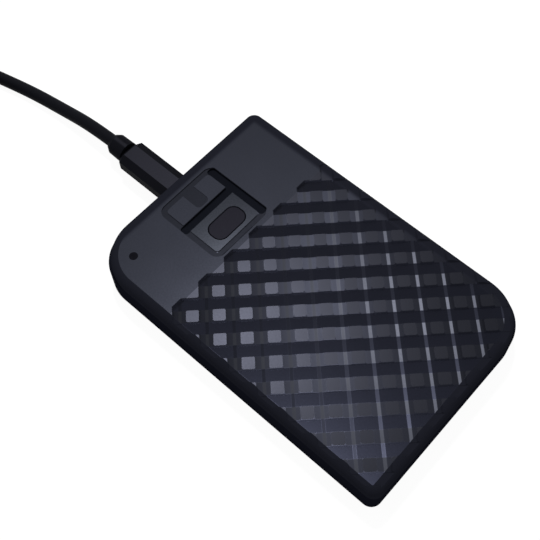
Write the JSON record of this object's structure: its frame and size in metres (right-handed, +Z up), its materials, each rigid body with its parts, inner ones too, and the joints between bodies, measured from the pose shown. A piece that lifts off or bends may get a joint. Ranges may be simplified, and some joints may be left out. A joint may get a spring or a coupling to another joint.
{
  "type": "external hard drive",
  "caption": "Flat portable hard drive with a diamond-grooved lid, a framed key panel, a small lamp and a plugged-in lead that is coiled, around a working disc drive.",
  "frame": {"origin": "centre of the case's footprint, at the bottom of its feet", "axes": "+X along the case, away from the connector end; +Z up through the grooved lid; +Y across"},
  "size_m": [0.2521, 0.1345, 0.0158],
  "materials": {
    "lid": "dark slate satin moulding with glossier grooves",
    "tray": "blue-black moulding",
    "key": "dark moulding",
    "lamp": "cloudy clear moulding",
    "foot": "black rubber",
    "soft_mount": "soft dark rubber",
    "board": "green solder mask",
    "chip": "black moulding compound",
    "sheet_steel": "bright formed steel",
    "casting": "cast aluminium",
    "disc": "polished platter",
    "winding": "enamelled copper wire",
    "plug": "black moulding",
    "host_tongue": "black moulding",
    "cable": "black cable sheath"
  },
  "bodies": {
    "case": {"base_tray": "tray", "board_screws": "sheet_steel", "breather_filter": "chip", "bridge_board": "board", "bridge_chip": "chip", "button_dome": "sheet_steel", "cable_coil": "cable", "cable_lead": "cable", "cable_tail": "cable", "cable_tie": "plug", "cover_screws": "sheet_steel", "drive_board": "board", "drive_casting": "casting", "drive_cover": "sheet_steel", "drive_processor": "chip", "drive_sata_plug": "chip", "end_bumper": "soft_mount", "glow_led": "lamp", "host_plug_body": "plug", "host_plug_shell": "sheet_steel", "host_plug_tongue": "host_tongue", "host_strain_relief": "plug", "light_pipe": "lamp", "lower_magnet": "sheet_steel", "lower_yoke": "sheet_steel", "motor_stator": "sheet_steel", "parking_ramp": "chip", "pivot_post": "sheet_steel", "plug_body": "plug", "plug_shell": "sheet_steel", "plug_strain_relief": "plug", "roof_pad_left": "soft_mount", "roof_pad_right": "soft_mount", "rubber_foot_1": "foot", "rubber_foot_2": "foot", "rubber_foot_3": "foot", "rubber_foot_4": "foot", "sata_receptacle": "chip", "shock_bumper_1": "soft_mount", "shock_bumper_2": "soft_mount", "shock_bumper_3": "soft_mount", "shock_bumper_4": "soft_mount", "spindle_sleeve": "sheet_steel", "status_led": "lamp", "switch_flex": "board", "top_cover": "lid", "upper_magnet": "sheet_steel", "upper_yoke": "sheet_steel", "usb_socket_shell": "sheet_steel", "usb_socket_tongue": "chip"},
    "key": {"touch_button": "key"},
    "spindle": {"spindle_hub": "casting", "data_disc": "disc", "disc_clamp": "casting", "clamp_screw": "sheet_steel"},
    "actuator": {"actuator_arm": "casting", "voice_coil": "winding", "upper_suspension": "sheet_steel", "lower_suspension": "sheet_steel"}
  },
  "joints": [
    {"name": "key_press", "type": "slide", "parent": "case", "child": "key", "axis": [0, 0, -1], "range_m": [0, 0.0005], "stiffness_N_per_m": 3000, "springref_m": -0.0001},
    {"name": "spindle_spin", "type": "hinge", "parent": "case", "child": "spindle", "pos_m": [0.02, 0, 0.0075], "axis": [0, 0, 1], "continuous": true},
    {"name": "actuator_swing", "type": "hinge", "parent": "case", "child": "actuator", "pos_m": [-0.02, -0.008, 0.0075], "axis": [0, 0, -1], "range_deg": [0, 32]}
  ]
}
